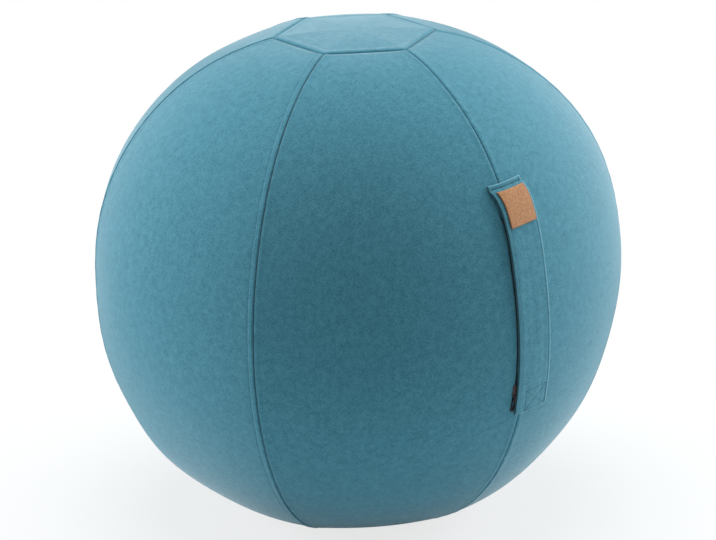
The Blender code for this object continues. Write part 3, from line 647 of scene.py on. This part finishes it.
def panel_place(panel, column, row):
    """A point of a side panel, and its place on the flat cloth."""
    latitude = ROW_LATITUDES[row]
    width = panel_span(panel, latitude)[1]
    openings = [zip_opening(seam, latitude) for seam in (panel, panel + 1)]
    start = openings[0] + SEAM_GAP
    stop = width - openings[1] - SEAM_GAP
    fine = len(SEAM_COLUMNS)
    from_left = column - 1
    from_right = PANEL_COLUMNS - 2 - column
    turned = 0.0
    if from_left < 0:
        turned = TURN_IN + (ZIP_TURN_IN - TURN_IN) * zip_share(panel, latitude)
    if from_right < 0:
        turned = TURN_IN + (ZIP_TURN_IN - TURN_IN) * zip_share(panel + 1, latitude)
    if row in (0, PANEL_ROWS - 1):
        turned = TURN_IN
    if from_left < fine:
        across = start + SEAM_COLUMNS[max(from_left, 0)]
    elif from_right < fine:
        across = stop - SEAM_COLUMNS[max(from_right, 0)]
    else:
        share = (from_left - fine + 1) / (PANEL_COLUMNS - 1 - 2 * fine)
        across = start + SEAM_COLUMNS[-1] + (stop - start - 2 * SEAM_COLUMNS[-1]) * share
    return felt_point(panel, latitude, across, turned), (across - width / 2, latitude * METRES_PER_DEGREE)


PANEL_LENGTH = 2 * RIM_LATITUDE * METRES_PER_DEGREE
for panel in range(SEAM_COUNT):
    piece = shaped_grid(f"felt_panel_{panel + 1}", PANEL_COLUMNS, PANEL_ROWS,
                        lambda column, row: panel_place(panel, column, row))
    apply_modifier(piece, "SOLIDIFY", thickness=FELT_THICKNESS, offset=-1.0)
    dress(piece, felt, "ball", "felt", f"side_panel_{panel + 1}")
    widths = [panel_span(panel, latitude)[1] for latitude in ROW_LATITUDES]
    area = sum(widths) / len(widths) * PANEL_LENGTH


# Top and base panels: two hexagons of the same felt, sewn into the rims of the side panels. The air swells
# the top one a little, and the base one lies flat on the floor.

CAP_CELLS = 24              # along each edge of the hexagon
CAP_ROWS = 16               # from the fine rows along the rim to the middle
CAP_FINE = 0.03             # how far the fine rows reach
CAP_ROLL = 0.0005           # swell of the top panel along its seam
CAP_ROLL_PLACE = (0.0045, 0.0032)
APOTHEM = HEXAGON_RADIUS * math.cos(math.radians(SECTOR / 2))
CAP_STEPS = [step for step in SEAM_COLUMNS if step < CAP_FINE]
CAP_REACH = APOTHEM - SEAM_GAP - CAP_STEPS[-1]
CAP_STEPS += [CAP_STEPS[-1] + CAP_REACH * row / CAP_ROWS for row in range(1, CAP_ROWS + 1)]


def cap_place(side, column, row):
    """A point of the top (side 1) or base (side -1) panel, and its place on the flat cloth."""
    step = CAP_STEPS[max(row - 1, 0)]
    cell = column if side > 0 else SEAM_COUNT * CAP_CELLS - column
    azimuth = SEAM_AZIMUTH + SECTOR * cell / CAP_CELLS
    rim = surface_point(side * RIM_LATITUDE, azimuth, cell % CAP_CELLS / CAP_CELLS, 0.0)
    share = 1 - (step + SEAM_GAP) / APOTHEM
    depth = edge_depth(step) + (TURN_IN if row == 0 else 0.0)
    if side > 0:
        depth -= TOP_CROWN * (1 - share * share) + CAP_ROLL * bump_at(step, *CAP_ROLL_PLACE)
    spot = Vector((rim.x * share, rim.y * share, HALF_HEIGHT + side * (HALF_HEIGHT - depth)))
    return spot, (spot.x, spot.y)


for name, side in (("top", 1), ("base", -1)):
    piece = shaped_grid(f"felt_{name}", SEAM_COUNT * CAP_CELLS + 1, len(CAP_STEPS) + 1,
                        lambda column, row: cap_place(side, column, row))
    merge_points(piece)
    apply_modifier(piece, "SOLIDIFY", thickness=FELT_THICKNESS, offset=-1.0)
    dress(piece, felt, "ball", "felt", f"{name}_panel")
    area = 3 * HEXAGON_RADIUS * APOTHEM


# Topstitching: a row of thick thread along one side of each seam, through the felt and the turned-in edge
# below it. The seam with the zip has none.

STITCH_LENGTH = 0.0027
STITCH_WIDTH = 0.00065
STITCH_PITCH = 0.0036
STITCH_CLEAR = 1.0          # latitude left free at each end of a row
STITCH_LINE_POINTS = 180
THREAD_DARK = (0.035, 0.130, 0.180, 1.0)
THREAD_LIGHT = (0.075, 0.225, 0.300, 1.0)


def thread_finish(name, dark, light):
    """Twisted thread: fine slanting ply lines in two close shades."""
    material, shader, paint = new_finish(name, roughness=0.75)
    place = paint.node("ShaderNodeTexCoord", {}, {}, "Object")
    ply = paint.node("ShaderNodeTexNoise", {}, {"Vector": place, "Scale": 2400.0, "Detail": 1.0})
    feed(paint, paint.mix(ply, dark, light), shader.inputs["Base Color"])
    bump = paint.node("ShaderNodeBump", {}, {"Strength": 0.3, "Distance": 0.0002, "Height": ply})
    feed(paint, bump, shader.inputs["Normal"])
    return material


def make_stitch():
    """One stitch: a short grain of thread that lies along X."""
    bpy.ops.object.select_all(action="DESELECT")
    bpy.ops.mesh.primitive_uv_sphere_add(segments=6, ring_count=6, radius=0.5)
    piece = bpy.context.object
    piece.data.transform(Matrix.Rotation(math.radians(90), 4, "Y"))
    piece.data.transform(Matrix.Diagonal((STITCH_LENGTH, STITCH_WIDTH, STITCH_WIDTH, 1.0)))
    return piece


def lay_copies(name, mould, places):
    """One mesh of copies of a small piece. Each place is a point, the way along and the way out."""
    shape = np.array([vertex.co for vertex in mould.data.vertices])
    faces = [list(face.vertices) for face in mould.data.polygons]
    points = []
    copies = []
    for spot, along, out in places:
        along = along.normalized()
        side = out.cross(along).normalized()
        turn = np.array((along, side, along.cross(side)))
        copies += [[index + len(points) for index in face] for face in faces]
        points += (np.array(spot) + shape @ turn).tolist()
    mesh = bpy.data.meshes.new(name)
    mesh.from_pydata(points, [], copies)
    mesh.shade_smooth()
    piece = bpy.data.objects.new(name, mesh)
    bpy.context.collection.objects.link(piece)
    return piece


def even_places(line, pitch):
    """Places at an even pitch along a line of points. The way out is away from the middle of the ball."""
    places = []
    rest = pitch / 2
    for start, stop in zip(line, line[1:]):
        step = stop - start
        while rest <= step.length:
            spot = start + step * (rest / step.length)
            places.append((spot, step, spot - BALL_MIDDLE))
            rest += pitch
        rest -= step.length
    return places


thread = thread_finish("felt_thread", THREAD_DARK, THREAD_LIGHT)
stitch = make_stitch()
row_end = RIM_LATITUDE - STITCH_CLEAR
for panel in range(SEAM_COUNT - 1):
    line = []
    for latitude in np.linspace(-row_end, row_end, STITCH_LINE_POINTS):
        across = panel_span(panel, latitude)[1] - SEAM_GAP - RIDGE_WIDTH
        line.append(felt_point(panel, latitude, across))
    row = lay_copies(f"topstitch_{panel + 1}", stitch, even_places(line, STITCH_PITCH))
    dress(row, thread, "ball", "felt")


# Zip: two woven tapes sewn behind the edges of the felt, each with a row of nylon teeth, and a metal stop at
# each end of the rows. It is a concealed zip, so that only a slit shows beside the strap.

TAPE_FLAT = 0.0131          # from the zip's middle line to the outer edge of a tape
TAPE_OUTLINE = (            # distance across from the middle line, and depth under the felt
    (0.0011, 0.0063),
    (0.0042, 0.0063),
    (0.0080, 0.0031),
    (TAPE_FLAT, 0.0031),
)
TAPE_ROWS = 80
TAPE_THICKNESS = 0.0006
TOOTH_SIZE = (0.0007, 0.0016, 0.0012)       # along the zip, across it and deep
TOOTH_BEVEL = 0.0002
TOOTH_PITCH = 0.0012
TEETH_ACROSS = 0.0016       # from the middle line to the middle of a row
TEETH_DEPTH = 0.0054
TAPE_DARK = (0.012, 0.135, 0.175, 1.0)
TAPE_LIGHT = (0.020, 0.200, 0.250, 1.0)
METAL_DARK = (0.034, 0.024, 0.024, 1.0)
METAL_LIGHT = (0.072, 0.050, 0.050, 1.0)
METAL_SMOOTH = 0.28         # roughness where the plating is whole
METAL_WEAR = 0.3            # and how much wear adds to it


def zip_side_point(latitude, across, depth):
    """A point near the zip, by its distance across from the middle line and its depth under the felt."""
    azimuth = zip_azimuth(latitude) + math.degrees(across / seam_point(latitude)[0].x)
    panel = 0 if azimuth >= seam_azimuth(0, latitude) else -1
    low = seam_azimuth(panel, latitude)
    share = (azimuth - low) / (seam_azimuth(panel + 1, latitude) - low)
    return surface_point(latitude, azimuth, share, depth)


def tape_place(side, column, row):
    """A point of a zip tape, and its place on the flat tape."""
    across, depth = TAPE_OUTLINE[column if side > 0 else len(TAPE_OUTLINE) - 1 - column]
    latitude = ZIP_LOW + (ZIP_HIGH - ZIP_LOW) * row / (TAPE_ROWS - 1)
    return zip_side_point(latitude, side * across, depth), (across, math.radians(latitude) * BALL_RADIUS)


def woven_finish(name):
    """Fine plain weave: two crossing sets of threads."""
    material, shader, paint = new_finish(name, roughness=0.9)
    lie = paint.node("ShaderNodeUVMap", {"uv_map": "cloth"}, {})
    weave = paint.node("ShaderNodeTexChecker", {}, {"Vector": lie, "Scale": 2500.0}, "Fac")
    feed(paint, paint.mix(weave, TAPE_DARK, TAPE_LIGHT), shader.inputs["Base Color"])
    bump = paint.node("ShaderNodeBump", {}, {"Strength": 0.3, "Distance": 0.0002, "Height": weave})
    feed(paint, bump, shader.inputs["Normal"])
    return material


def metal_finish(name, dark, light):
    """Dark plated metal with faint wear."""
    material, shader, paint = new_finish(name, roughness=0.4, metallic=0.85)
    place = paint.node("ShaderNodeTexCoord", {}, {}, "Object")
    wear = paint.node("ShaderNodeTexNoise", {}, {"Vector": place, "Scale": 700.0, "Detail": 3.0})
    feed(paint, paint.mix(wear, dark, light), shader.inputs["Base Color"])
    feed(paint, METAL_SMOOTH + wear * METAL_WEAR, shader.inputs["Roughness"])
    return material


tape_cloth = woven_finish("zip_tape_weave")
teeth_nylon = moulded_finish("zip_teeth_nylon", TAPE_DARK, TAPE_LIGHT, roughness=0.5)
dark_metal = metal_finish("dark_metal", METAL_DARK, METAL_LIGHT)
bpy.ops.object.select_all(action="DESELECT")
bpy.ops.mesh.primitive_cube_add(size=1.0)
tooth = bpy.context.object
tooth.data.transform(Matrix.Diagonal((*TOOTH_SIZE, 1.0)))
apply_modifier(tooth, "BEVEL", width=TOOTH_BEVEL, segments=1)
for name, side in (("left", -1), ("right", 1)):
    tape = shaped_grid(f"tape_{name}", len(TAPE_OUTLINE), TAPE_ROWS,
                       lambda column, row: tape_place(side, column, row))
    apply_modifier(tape, "SOLIDIFY", thickness=TAPE_THICKNESS, offset=-1.0)
    dress(tape, tape_cloth, "ball", "zip_textile", f"zip_tape_{name}")
    line = [zip_side_point(latitude, side * TEETH_ACROSS, TEETH_DEPTH)
            for latitude in np.linspace(ZIP_LOW, ZIP_HIGH, TAPE_ROWS)]
    teeth = lay_copies(f"teeth_{name}", tooth, even_places(line, TOOTH_PITCH))
    dress(teeth, teeth_nylon, "ball", "zip_nylon", f"zip_teeth_{name}")
bpy.data.objects.remove(tooth, do_unlink=True)
refinish("zip_top_stop", dark_metal)
refinish("zip_bottom_stop", dark_metal)


# Slider and pull: cast metal. The slider runs behind the felt, and its bridge comes out through the slit and
# holds an open-framed pull that swings.

SLIDER_ROUND = 0.00025
PULL_ROUND = 0.0004
PULL_DARK = (0.010, 0.008, 0.009, 1.0)
PULL_LIGHT = (0.026, 0.021, 0.022, 1.0)
FLAT_ANGLE = math.radians(2)        # faces that lean apart less than this are joined
SHARP_ANGLE = math.radians(30)      # edges sharper than this are rounded
SMOOTH_ANGLE = math.radians(40)     # and edges softer than this are shaded smooth


def rounded_copy(node, name, width):
    """A copy of a CAD piece with its flat faces joined up and its edges rounded."""
    piece = cad_copy(node, name)
    bpy.ops.object.mode_set(mode="EDIT")
    bpy.ops.mesh.select_all(action="SELECT")
    bpy.ops.mesh.dissolve_limited(angle_limit=FLAT_ANGLE)
    bpy.ops.object.mode_set(mode="OBJECT")
    apply_modifier(piece, "BEVEL", width=width, segments=3, limit_method="ANGLE", angle_limit=SHARP_ANGLE)
    bpy.ops.object.shade_smooth_by_angle(angle=SMOOTH_ANGLE)
    return piece


slider = rounded_copy("zip_slider", "slider_body", SLIDER_ROUND)
dress(slider, dark_metal, "slider", "dark_metal", "zip_slider")
pull = rounded_copy("zip_pull", "slider_pull", PULL_ROUND)
dress(pull, metal_finish("black_metal", PULL_DARK, PULL_LIGHT), "pull", "dark_metal", "zip_pull")


# Carrying strap: a band of felt folded to 51 mm and stitched along both edges. Its foot is sewn down with a
# box and a cross and its top with one row, and it stands a little off the ball between them.

STRAP_FOOT = -16.9          # latitudes of its two ends
STRAP_TOP = 32.5
SPAN_LOW = -10.6            # and of the free span
SPAN_HIGH = 31.0
STRAP_SPLIT = 10.2          # the two lengths of the model meet here
STRAP_WIDTH = 0.051
STRAP_THICKNESS = 0.0035
STRAP_FOOT_OFFSET = 0.0291  # from the zip's line to the strap's centre line
STRAP_TOP_OFFSET = 0.0200
STRAP_SKEW = 0.08           # how much its ends rise to the right
STRAP_SEAT = 0.0008
STRAP_SLACK = 0.0045        # at its highest, behind the patch
STRAP_BOW = 0.0042          # and how far it bows to the right there
SLACK_RISE = 4.0            # how the slack grows from the foot
SLACK_FALL = 0.6            # and goes at the top
FOLD_REACH = 0.0028         # width over which the felt turns over at each edge
FOLD_ANGLES = (75, 60, 45, 30, 15, 0, -30, -60)
FOLD_ROLL = 0.0002
FOLD_ROLL_PLACE = (0.0031, 0.0012)
STRAP_EDGE_ROW = 0.0043     # from each edge to its row of stitches
LEFT_GROOVE = 0.0003        # drawn in by that row
RIGHT_GROOVE = 0.0001
EDGE_GROOVE_WIDTH = 0.0007
STRAP_TOP_ROW = 0.0056      # from the top end to its row
TOP_GROOVE = 0.0013
TOP_GROOVE_WIDTH = 0.0009
ROW_CLEAR = 0.4             # latitude left free at the ends of the edge rows
STRAP_STEP = 0.0016
FOLD_STEPS = (0.0028, 0.0031, 0.0034, 0.0037, 0.0040, 0.0043, 0.0046,
              0.0050, 0.0055, 0.0062, 0.0075, 0.0110, 0.0160)
END_STEPS = (0.0, 0.0001, 0.0003, 0.0006, 0.0010, 0.0015, 0.0021, 0.0028, 0.0036,
             0.0043, 0.0048, 0.0052, 0.0056, 0.0060, 0.0064, 0.0069, 0.0076)
BOX_LOW = -16.45            # latitudes of the sewn box at the foot
BOX_HIGH = -11.7
BOX_LEFT = -0.0115          # and its sides, from the centre line
BOX_RIGHT = 0.0200
SEWING_DARK = (0.010, 0.045, 0.062, 1.0)
SEWING_LIGHT = (0.022, 0.085, 0.115, 1.0)


def slack_share(along):
    """How the slack spreads along the free span."""
    return along ** SLACK_RISE * (1 - along) ** SLACK_FALL


def strap_point(latitude, across, height):
    """A point of the strap, by its distance from the centre line and its height over the underside."""
    along = min(max((latitude - SPAN_LOW) / (SPAN_HIGH - SPAN_LOW), 0.0), 1.0)
    loose = slack_share(along) / slack_share(SLACK_RISE / (SLACK_RISE + SLACK_FALL))
    share = (latitude - STRAP_FOOT) / (STRAP_TOP - STRAP_FOOT)
    centre = STRAP_FOOT_OFFSET + (STRAP_TOP_OFFSET - STRAP_FOOT_OFFSET) * share + STRAP_BOW * loose
    latitude += math.degrees(STRAP_SKEW * across / BALL_RADIUS)
    return zip_side_point(latitude, centre + across, -(STRAP_SEAT + STRAP_SLACK * loose + height))


def strap_top(latitude, across):
    """The strap's upper surface: rolled at the folds and drawn in along the rows of stitches."""
    from_edge = STRAP_WIDTH / 2 - abs(across)
    from_top = math.radians(STRAP_TOP - latitude) * BALL_RADIUS
    groove = LEFT_GROOVE if across < 0 else RIGHT_GROOVE
    height = STRAP_THICKNESS + FOLD_ROLL * bump_at(from_edge, *FOLD_ROLL_PLACE)
    height -= groove * bump_at(from_edge, STRAP_EDGE_ROW, EDGE_GROOVE_WIDTH)
    return height - TOP_GROOVE * bump_at(from_top, STRAP_TOP_ROW, TOP_GROOVE_WIDTH)


def strap_section():
    """The way round the strap from its upper left edge: distance across and height.

    On the upper surface the height is None, and strap_top gives it.
    """
    half = STRAP_WIDTH / 2
    radius = STRAP_THICKNESS / 2
    upper = [(step - half, None) for step in FOLD_STEPS]
    upper += [(0.0, None)] + [(-across, None) for across, height in reversed(upper)]
    fold = []
    for angle in FOLD_ANGLES:
        turn = math.radians(angle)
        fold.append((half - FOLD_REACH + FOLD_REACH * math.cos(turn), radius + radius * math.sin(turn)))
    under = [(half - FOLD_REACH, 0.0), (0.0, 0.0), (FOLD_REACH - half, 0.0)]
    return upper + fold + under + [(-across, height) for across, height in reversed(fold)] + upper[:1]


SECTION = strap_section()


def strap_place(latitudes, column, row):
    """A point of a length of the strap, and its place on the flat felt."""
    latitude = latitudes[row]
    across, height = SECTION[column]
    if height is None:
        height = strap_top(latitude, across)
    from_end = math.radians(min(latitude - STRAP_FOOT, STRAP_TOP - latitude)) * BALL_RADIUS
    half = STRAP_THICKNESS / 2
    short = max(half - from_end, 0.0) / half
    height = half + (height - half) * math.sqrt(max(1 - short * short, 0.0))
    return strap_point(latitude, across, height), (across, math.radians(latitude) * BALL_RADIUS)


def strap_latitudes(end, way):
    """Rows from one sewn end to where the two lengths of the strap meet, in rising order."""
    steps = [end + way * math.degrees(step / BALL_RADIUS) for step in END_STEPS]
    count = math.ceil(math.radians(abs(STRAP_SPLIT - steps[-1])) * BALL_RADIUS / STRAP_STEP)
    steps += [steps[-1] + (STRAP_SPLIT - steps[-1]) * row / count for row in range(1, count + 1)]
    return sorted(steps)


def strap_line(start, stop, count=120):
    """A line of points along the upper surface of the strap, between two (latitude, across) places."""
    line = []
    for share in np.linspace(0.0, 1.0, count):
        latitude = start[0] + (stop[0] - start[0]) * share
        across = start[1] + (stop[1] - start[1]) * share
        line.append(strap_point(latitude, across, strap_top(latitude, across)))
    return line


MEET = strap_point(STRAP_SPLIT, 0.0, 0.0)
SEWN_ENDS = {"lower": strap_point(SPAN_LOW, 0.0, 0.0), "upper": strap_point(SPAN_HIGH, 0.0, 0.0)}
row_across = STRAP_WIDTH / 2 - STRAP_EDGE_ROW
top_row = STRAP_TOP - math.degrees(STRAP_TOP_ROW / BALL_RADIUS)
corners = [(BOX_LOW, BOX_LEFT), (BOX_LOW, BOX_RIGHT), (BOX_HIGH, BOX_RIGHT), (BOX_HIGH, BOX_LEFT)]
row_low = STRAP_FOOT + ROW_CLEAR
row_high = STRAP_TOP - ROW_CLEAR
strap_rows = {
    "lower": [((row_low, across), (STRAP_SPLIT, across)) for across in (-row_across, row_across)],
    "upper": [((STRAP_SPLIT, across), (row_high, across)) for across in (-row_across, row_across)],
}
sewn_rows = [
    (corners[0], corners[1]),
    (corners[1], corners[2]),
    (corners[2], corners[3]),
    (corners[3], corners[0]),
    (corners[0], corners[2]),
    (corners[1], corners[3]),
    ((top_row, -row_across), (top_row, row_across)),
]
strap_felt = felt_finish("strap_felt", (STRAP_WIDTH / 2, math.radians(STRAP_FOOT) * BALL_RADIUS,
                                        math.radians(STRAP_TOP) * BALL_RADIUS))
strap_thread = thread_finish("strap_thread", SEWING_LIGHT, THREAD_DARK)
strap_nodes = {"lower": ("strap_lower_end", "strap_span"), "upper": ("strap_upper_end",)}
strap_ends = {"lower": (STRAP_FOOT, 1), "upper": (STRAP_TOP, -1)}
for name, (end, way) in strap_ends.items():
    latitudes = strap_latitudes(end, way)
    piece = shaped_grid(f"strap_{name}", len(SECTION), len(latitudes),
                        lambda column, row: strap_place(latitudes, column, row))
    merge_points(piece)
    dress(piece, strap_felt, None, "felt", *strap_nodes[name])
    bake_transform(piece)
    places = []
    for start, stop in strap_rows[name]:
        places += even_places(strap_line(start, stop), STITCH_PITCH)
    rows = lay_copies(f"strap_stitches_{name}", stitch, places)
    dress(rows, strap_thread, None, "felt")
    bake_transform(rows)
places = []
for start, stop in sewn_rows:
    places += even_places(strap_line(start, stop), STITCH_PITCH)
sewing = lay_copies("strap_sewing", stitch, places)
dress(sewing, thread_finish("sewing_thread", SEWING_DARK, SEWING_LIGHT), "ball", "felt")
bpy.data.objects.remove(stitch, do_unlink=True)


# Patch: a tab of tan cork leather with brown flecks, sewn flat on the upper end of the strap, with painted
# shade along its left and right edges. It is left bare.

PATCH_WIDTH = 0.041
PATCH_HEIGHT = 0.044
PATCH_SHIFT = 0.0003        # to the right of the strap's centre line
PATCH_INSET = 0.0015        # from the top of the free span
PATCH_THICKNESS = 0.0012
PATCH_LIFT = 0.0005         # of its underside off the strap
CLOUD_CONTRAST = 2.0
FLECK_FROM = 0.62           # where the spots' noise turns into flecks
FLECK_SHARPNESS = 8.0
EDGE_SHADE_REACH = 0.0009        # of the painted shade along the left and right edges
EDGE_SHADE_START = 1.3           # reaches inside the edge where it starts
PATCH_COLUMNS = 30
PATCH_ROWS = 32
PATCH_DARK = (0.290, 0.125, 0.047, 1.0)
PATCH_LIGHT = (0.490, 0.240, 0.098, 1.0)
PATCH_FLECK = (0.150, 0.060, 0.025, 1.0)
patch_top = SPAN_HIGH - math.degrees(PATCH_INSET / BALL_RADIUS)
patch_low = patch_top - math.degrees(PATCH_HEIGHT / BALL_RADIUS)


def cork_finish(name):
    """Cork leather: clouds of two tans with small dark flecks and pits, and painted shade at its side edges.
    """
    material, shader, paint = new_finish(name, roughness=0.7)
    place = paint.node("ShaderNodeTexCoord", {}, {}, "Object")
    cloud = paint.node("ShaderNodeTexNoise", {}, {"Vector": place, "Scale": 420.0, "Detail": 4.0})
    tone = paint.node("ShaderNodeClamp", {}, {"Value": (cloud - 0.5) * CLOUD_CONTRAST + 0.5})
    spots = paint.node("ShaderNodeTexNoise", {}, {"Vector": place, "Scale": 900.0, "Detail": 2.0})
    fleck = paint.node("ShaderNodeClamp", {}, {"Value": (spots - FLECK_FROM) * FLECK_SHARPNESS})
    lie = paint.node("ShaderNodeUVMap", {"uv_map": "cloth"}, {})
    # painted shade along the patch's left and right edges, where its raised edges throw shadow
    across = paint.node("ShaderNodeSeparateXYZ", {}, {"Vector": lie}, "X") - PATCH_SHIFT
    past = paint.maths("ABSOLUTE", across) - PATCH_WIDTH / 2
    edge_shade = paint.node("ShaderNodeClamp", {}, {"Value": past / EDGE_SHADE_REACH + EDGE_SHADE_START})
    base = paint.mix(tone, PATCH_DARK, PATCH_LIGHT)
    feed(paint, paint.mix(fleck.most(edge_shade), base, PATCH_FLECK), shader.inputs["Base Color"])
    bump = paint.node("ShaderNodeBump", {}, {"Strength": 0.4, "Distance": 0.0004, "Height": tone - fleck})
    feed(paint, bump, shader.inputs["Normal"])
    return material


def patch_place(column, row):
    """A point of the patch's upper surface, turned down at its edges, and its place on the flat patch."""
    share_across = min(max((column - 1) / (PATCH_COLUMNS - 3), 0.0), 1.0)
    share_up = min(max((row - 1) / (PATCH_ROWS - 3), 0.0), 1.0)
    across = PATCH_SHIFT + (share_across - 0.5) * PATCH_WIDTH
    latitude = patch_low + (patch_top - patch_low) * share_up
    edge = column in (0, PATCH_COLUMNS - 1) or row in (0, PATCH_ROWS - 1)
    height = STRAP_THICKNESS + PATCH_LIFT + (0.0 if edge else PATCH_THICKNESS)
    return strap_point(latitude, across, height), (across, math.radians(latitude) * BALL_RADIUS)


patch = shaped_grid("patch", PATCH_COLUMNS, PATCH_ROWS, patch_place)
dress(patch, cork_finish("cork_leather"), None, "patch", "label_patch")
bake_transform(patch)
